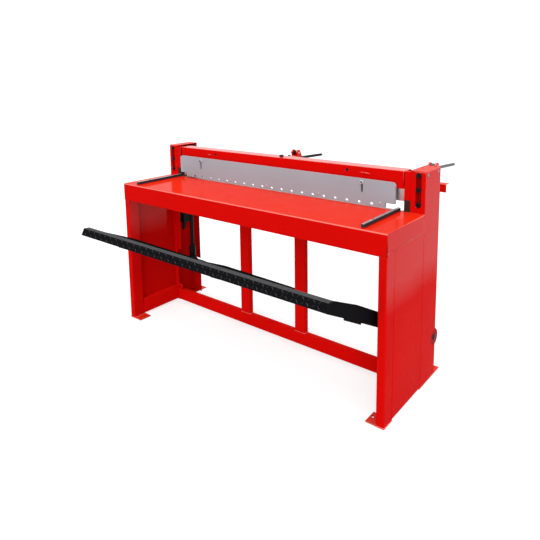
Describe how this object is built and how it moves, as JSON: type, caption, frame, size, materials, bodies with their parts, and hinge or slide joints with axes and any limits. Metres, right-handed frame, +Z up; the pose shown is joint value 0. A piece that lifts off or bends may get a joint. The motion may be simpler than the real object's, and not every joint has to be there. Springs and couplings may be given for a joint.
{
  "type": "foot-operated guillotine shear",
  "caption": "Floor-standing sheet metal shear: folded steel frame and table, raked blade on a sliding ram, hold-down guard, foot treadle with link rods, back gauge.",
  "frame": {"origin": "on the floor, halfway between the two front anchor holes, 47 mm behind the front face of the table", "axes": "+X along the blades to the right of the operator, +Y from the operator to the back, +Z up"},
  "size_m": [1.658, 1.286, 1.008],
  "materials": {
    "red_paint": "semi-gloss red enamel",
    "dark_red_paint": "semi-gloss dark red enamel",
    "grey_plate": "satin grey enamel",
    "blade_steel": "ground",
    "black_paint": "semi-gloss black enamel",
    "black_oxide": "black oxide",
    "bright_steel": "bright",
    "spring_steel": "oiled spring steel"
  },
  "bodies": {
    "frame": {"blade_beam": "red_paint", "cap_screws": "bright_steel", "cross_rail": "red_paint", "foot_plates": "red_paint", "guide_bolts": "black_oxide", "left_column": "red_paint", "left_column_cap": "red_paint", "left_front_guide": "red_paint", "left_front_leg": "red_paint", "left_side_panel": "red_paint", "left_side_rail": "red_paint", "left_squaring_bar": "bright_steel", "lower_blade": "blade_steel", "lower_blade_screws": "black_oxide", "pivot_bearings": "dark_red_paint", "rear_brackets": "red_paint", "rear_cross_tube": "red_paint", "rear_guides": "black_paint", "rest_arm_pins": "black_oxide", "return_springs": "spring_steel", "right_column": "red_paint", "right_column_cap": "red_paint", "right_front_guide": "red_paint", "right_front_leg": "red_paint", "right_side_panel": "red_paint", "right_side_rail": "red_paint", "right_squaring_bar": "bright_steel", "squaring_screws": "black_oxide", "stop_block": "black_paint", "support_posts": "red_paint", "table_top": "red_paint"},
    "ram": {"ram_beam": "red_paint", "ram_ribs": "red_paint", "socket_screws": "black_oxide", "left_ram_shoe": "black_paint", "right_ram_shoe": "black_paint", "upper_blade": "blade_steel", "upper_blade_screws": "black_oxide", "shoulder_bolts": "bright_steel", "left_link_rod": "black_paint", "right_link_rod": "black_paint", "left_link_fork": "black_paint", "right_link_fork": "black_paint", "link_nuts": "black_oxide", "gauge_rods": "bright_steel"},
    "hold_down": {"hold_down_guard": "grey_plate", "guard_screws": "bright_steel"},
    "treadle": {"left_treadle_arm": "black_paint", "right_treadle_arm": "black_paint", "middle_treadle_arm": "black_paint", "tread_bar": "black_paint", "link_levers": "black_paint", "torque_tube": "black_paint", "pivot_shafts": "black_oxide", "link_pins": "black_oxide"},
    "back_gauge": {"gauge_clamps": "bright_steel", "gauge_knobs": "black_oxide", "gauge_fence": "red_paint"},
    "middle_arm": {"middle_rest_arm": "black_paint"},
    "right_arm": {"right_rest_arm": "black_paint"}
  },
  "joints": [
    {"name": "ram_stroke", "type": "slide", "parent": "frame", "child": "ram", "axis": [0, 0, -1], "range_m": [0, 0.045], "stiffness_N_per_m": 6000, "springref_m": -0.6, "deforming": ["return_springs"]},
    {"name": "treadle_pivot", "type": "hinge", "parent": "frame", "child": "treadle", "pos_m": [0, 0.455, 0.191], "axis": [1, 0, 0], "range_deg": [0, 31.45]},
    {"name": "guard_float", "type": "slide", "parent": "ram", "child": "hold_down", "axis": [0, 0, 1], "range_m": [0, 0.0404]},
    {"name": "gauge_travel", "type": "slide", "parent": "ram", "child": "back_gauge", "axis": [0, 1, 0], "range_m": [-0.44, 0.02]},
    {"name": "middle_arm_lift", "type": "hinge", "parent": "frame", "child": "middle_arm", "pos_m": [0, 0.498, 0.992], "axis": [1, 0, 0], "range_deg": [0, 80]},
    {"name": "right_arm_lift", "type": "hinge", "parent": "frame", "child": "right_arm", "pos_m": [0.778, 0.498, 0.992], "axis": [1, 0, 0], "range_deg": [0, 80]}
  ],
  "couplings": [
    {"joint": "treadle_pivot", "follows": "ram_stroke", "rad_per_m": 12.197},
    {"joint": "guard_float", "follows": "ram_stroke", "ratio": 0.8955}
  ]
}
